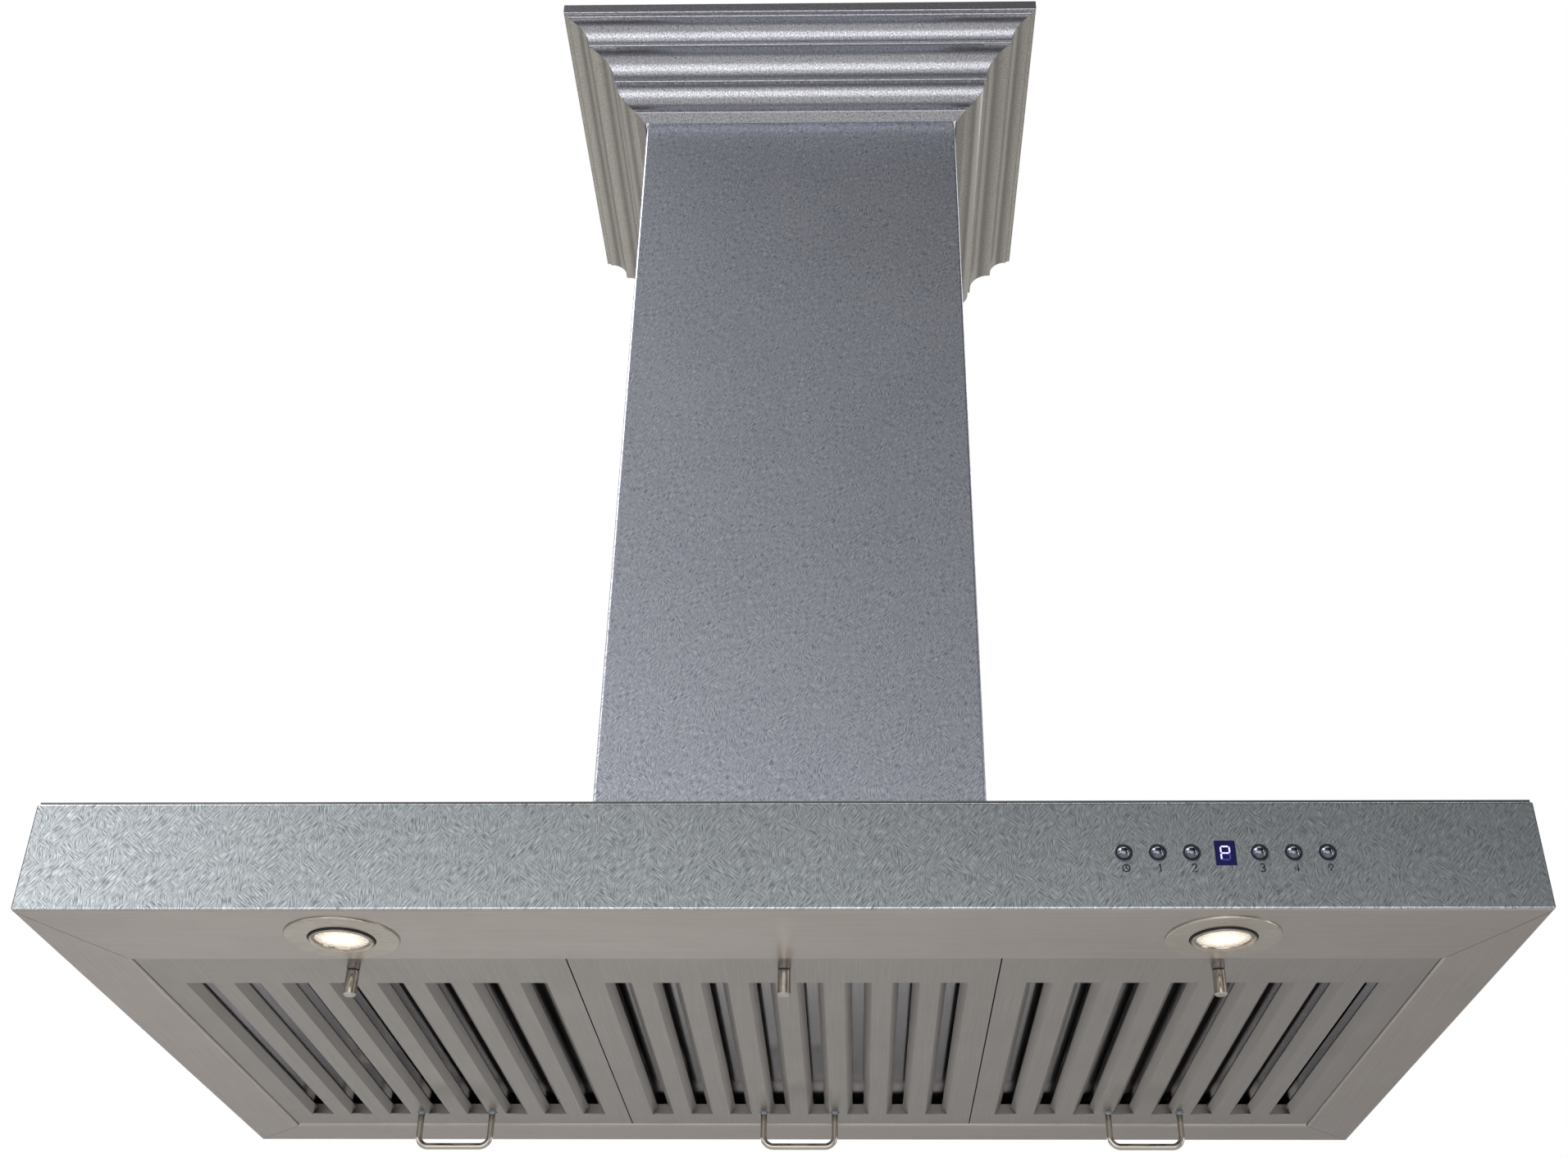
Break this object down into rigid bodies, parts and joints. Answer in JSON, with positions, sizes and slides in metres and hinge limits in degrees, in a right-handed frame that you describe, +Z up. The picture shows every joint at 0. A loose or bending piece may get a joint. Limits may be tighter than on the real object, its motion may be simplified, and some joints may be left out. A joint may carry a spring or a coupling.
{
  "type": "island range hood",
  "caption": "Ceiling-hung range hood: box canopy with lift-down baffle filters, push-button panel, round lamps and a telescoping square chimney with a stepped crown.",
  "frame": {"origin": "centre of the ceiling bracket's bolt pattern, on the ceiling plane", "axes": "+X to the right along the hood's width, +Y from the control panel to the back, +Z up"},
  "size_m": [0.9144, 0.5441, 0.8865],
  "materials": {
    "snow_steel": "stainless sheet with a fine random scratch finish",
    "crown_steel": "satin stainless moulding",
    "brushed_steel": "stainless sheet, brushed along its length",
    "brushed_trim": "spun and satin-finished stainless ring",
    "bright_steel": "polished stainless bar and wire",
    "chrome": "polished plating",
    "galvanised_steel": "zinc-coated sheet",
    "motor_paint": "black baked enamel",
    "black_plastic": "moulded, fine texture",
    "circuit_board": "glass-fibre board with solder mask",
    "display_window": "smoked window over a lit digit",
    "lamp_reflector": "faceted reflector with a clear front lens"
  },
  "bodies": {
    "ceiling_frame": {"ceiling_plate": "galvanised_steel", "upper_uprights": "galvanised_steel", "upper_chimney_front": "snow_steel", "upper_chimney_back": "snow_steel", "crown_front": "crown_steel", "crown_left": "crown_steel", "crown_right": "crown_steel", "crown_brackets": "galvanised_steel"},
    "hood": {"lower_uprights": "galvanised_steel", "lower_chimney_front": "snow_steel", "lower_chimney_back": "snow_steel", "chimney_seat": "galvanised_steel", "canopy_front": "snow_steel", "canopy_rear": "snow_steel", "canopy_left": "snow_steel", "canopy_right": "snow_steel", "canopy_top": "snow_steel", "blower_box": "galvanised_steel", "scroll_housing": "galvanised_steel", "motor": "motor_paint", "motor_bracket": "galvanised_steel", "duct_collar": "galvanised_steel", "control_box": "black_plastic", "control_board": "circuit_board", "display": "display_window", "button_bezels": "chrome", "power_box": "galvanised_steel", "light_trims": "brushed_trim"},
    "filter_left": {"filter_plate_left": "brushed_steel", "filter_baffles_left": "brushed_steel", "filter_handle_left": "bright_steel", "latch_bush_left": "black_plastic"},
    "latch_left": {"latch_knob_left": "bright_steel", "latch_cam_left": "bright_steel"},
    "filter_centre": {"filter_plate_centre": "brushed_steel", "filter_baffles_centre": "brushed_steel", "filter_handle_centre": "bright_steel", "latch_bush_centre": "black_plastic"},
    "latch_centre": {"latch_knob_centre": "bright_steel", "latch_cam_centre": "bright_steel"},
    "filter_right": {"filter_plate_right": "brushed_steel", "filter_baffles_right": "brushed_steel", "filter_handle_right": "bright_steel", "latch_bush_right": "black_plastic"},
    "latch_right": {"latch_knob_right": "bright_steel", "latch_cam_right": "bright_steel"},
    "button_body_1": {"button_1": "chrome"},
    "button_body_2": {"button_2": "chrome"},
    "button_body_3": {"button_3": "chrome"},
    "button_body_4": {"button_4": "chrome"},
    "button_body_5": {"button_5": "chrome"},
    "button_body_6": {"button_6": "chrome"},
    "fan": {"impeller": "galvanised_steel", "motor_shaft": "bright_steel"},
    "damper_flap_front": {"damper_front": "galvanised_steel"},
    "damper_flap_back": {"damper_back": "galvanised_steel"},
    "lamp_head_left": {"lamp_left": "lamp_reflector"},
    "lamp_head_right": {"lamp_right": "lamp_reflector"}
  },
  "joints": [
    {"name": "height_slide", "type": "slide", "parent": "ceiling_frame", "child": "hood", "axis": [0, 0, 1], "range_m": [-0.25, 0]},
    {"name": "filter_swing_left", "type": "hinge", "parent": "hood", "child": "filter_left", "pos_m": [-0.2762, 0.223, -0.857], "axis": [1, 0, 0], "range_deg": [0, 75]},
    {"name": "latch_turn_left", "type": "hinge", "parent": "filter_left", "child": "latch_left", "pos_m": [-0.2762, -0.1678, -0.857], "axis": [0, 0, 1], "range_deg": [0, 90]},
    {"name": "filter_swing_centre", "type": "hinge", "parent": "hood", "child": "filter_centre", "pos_m": [0, 0.223, -0.857], "axis": [1, 0, 0], "range_deg": [0, 75]},
    {"name": "latch_turn_centre", "type": "hinge", "parent": "filter_centre", "child": "latch_centre", "pos_m": [0, -0.1678, -0.857], "axis": [0, 0, 1], "range_deg": [0, 90]},
    {"name": "filter_swing_right", "type": "hinge", "parent": "hood", "child": "filter_right", "pos_m": [0.2762, 0.223, -0.857], "axis": [1, 0, 0], "range_deg": [0, 75]},
    {"name": "latch_turn_right", "type": "hinge", "parent": "filter_right", "child": "latch_right", "pos_m": [0.2762, -0.1678, -0.857], "axis": [0, 0, 1], "range_deg": [0, 90]},
    {"name": "button_press_1", "type": "slide", "parent": "hood", "child": "button_body_1", "axis": [0, 1, 0], "range_m": [0, 0.0012], "stiffness_N_per_m": 400, "springref_m": -0.001},
    {"name": "button_press_2", "type": "slide", "parent": "hood", "child": "button_body_2", "axis": [0, 1, 0], "range_m": [0, 0.0012], "stiffness_N_per_m": 400, "springref_m": -0.001},
    {"name": "button_press_3", "type": "slide", "parent": "hood", "child": "button_body_3", "axis": [0, 1, 0], "range_m": [0, 0.0012], "stiffness_N_per_m": 400, "springref_m": -0.001},
    {"name": "button_press_4", "type": "slide", "parent": "hood", "child": "button_body_4", "axis": [0, 1, 0], "range_m": [0, 0.0012], "stiffness_N_per_m": 400, "springref_m": -0.001},
    {"name": "button_press_5", "type": "slide", "parent": "hood", "child": "button_body_5", "axis": [0, 1, 0], "range_m": [0, 0.0012], "stiffness_N_per_m": 400, "springref_m": -0.001},
    {"name": "button_press_6", "type": "slide", "parent": "hood", "child": "button_body_6", "axis": [0, 1, 0], "range_m": [0, 0.0012], "stiffness_N_per_m": 400, "springref_m": -0.001},
    {"name": "fan_spin", "type": "hinge", "parent": "hood", "child": "fan", "pos_m": [0, -0.03, -0.6835], "axis": [1, 0, 0], "continuous": true},
    {"name": "damper_swing_front", "type": "hinge", "parent": "hood", "child": "damper_flap_front", "pos_m": [0, -0.0023, -0.5495], "axis": [-1, 0, 0], "range_deg": [0, 80]},
    {"name": "damper_swing_back", "type": "hinge", "parent": "hood", "child": "damper_flap_back", "pos_m": [0, 0.0023, -0.5495], "axis": [1, 0, 0], "range_deg": [0, 80]},
    {"name": "lamp_tilt_left", "type": "hinge", "parent": "hood", "child": "lamp_head_left", "pos_m": [-0.27, -0.2245, -0.8565], "axis": [1, 0, 0], "range_deg": [-12, 12]},
    {"name": "lamp_tilt_right", "type": "hinge", "parent": "hood", "child": "lamp_head_right", "pos_m": [0.27, -0.2245, -0.8565], "axis": [1, 0, 0], "range_deg": [-12, 12]}
  ]
}
